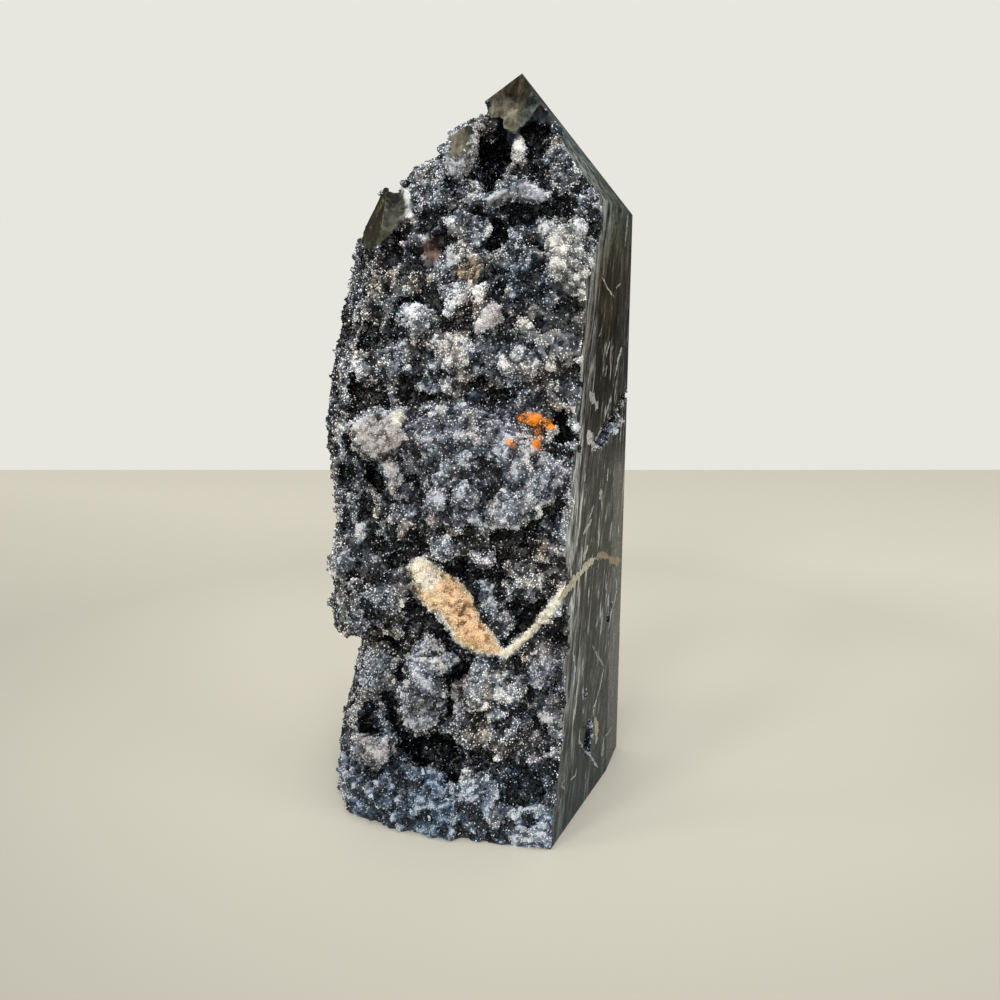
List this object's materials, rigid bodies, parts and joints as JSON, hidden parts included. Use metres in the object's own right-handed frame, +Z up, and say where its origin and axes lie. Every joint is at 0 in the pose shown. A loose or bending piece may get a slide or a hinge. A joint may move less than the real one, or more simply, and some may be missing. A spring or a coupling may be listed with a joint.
{
  "type": "sphalerite point",
  "caption": "Cut and polished dark mineral point with a flat foot and a faceted tip, its front left as natural crystal-lined growth with ledges and cavities.",
  "frame": {"origin": "middle of the box around the stone, on the plane of its flat foot", "axes": "+Z up through the tip, -Y towards the crystal-lined front, +X towards the polished right face"},
  "size_m": [0.0577, 0.052, 0.15],
  "materials": {
    "stone": "ground and polished flat faces, sparkling crystal-lined front"
  },
  "bodies": {
    "root": {"sphalerite_point": "stone"}
  },
  "joints": []
}
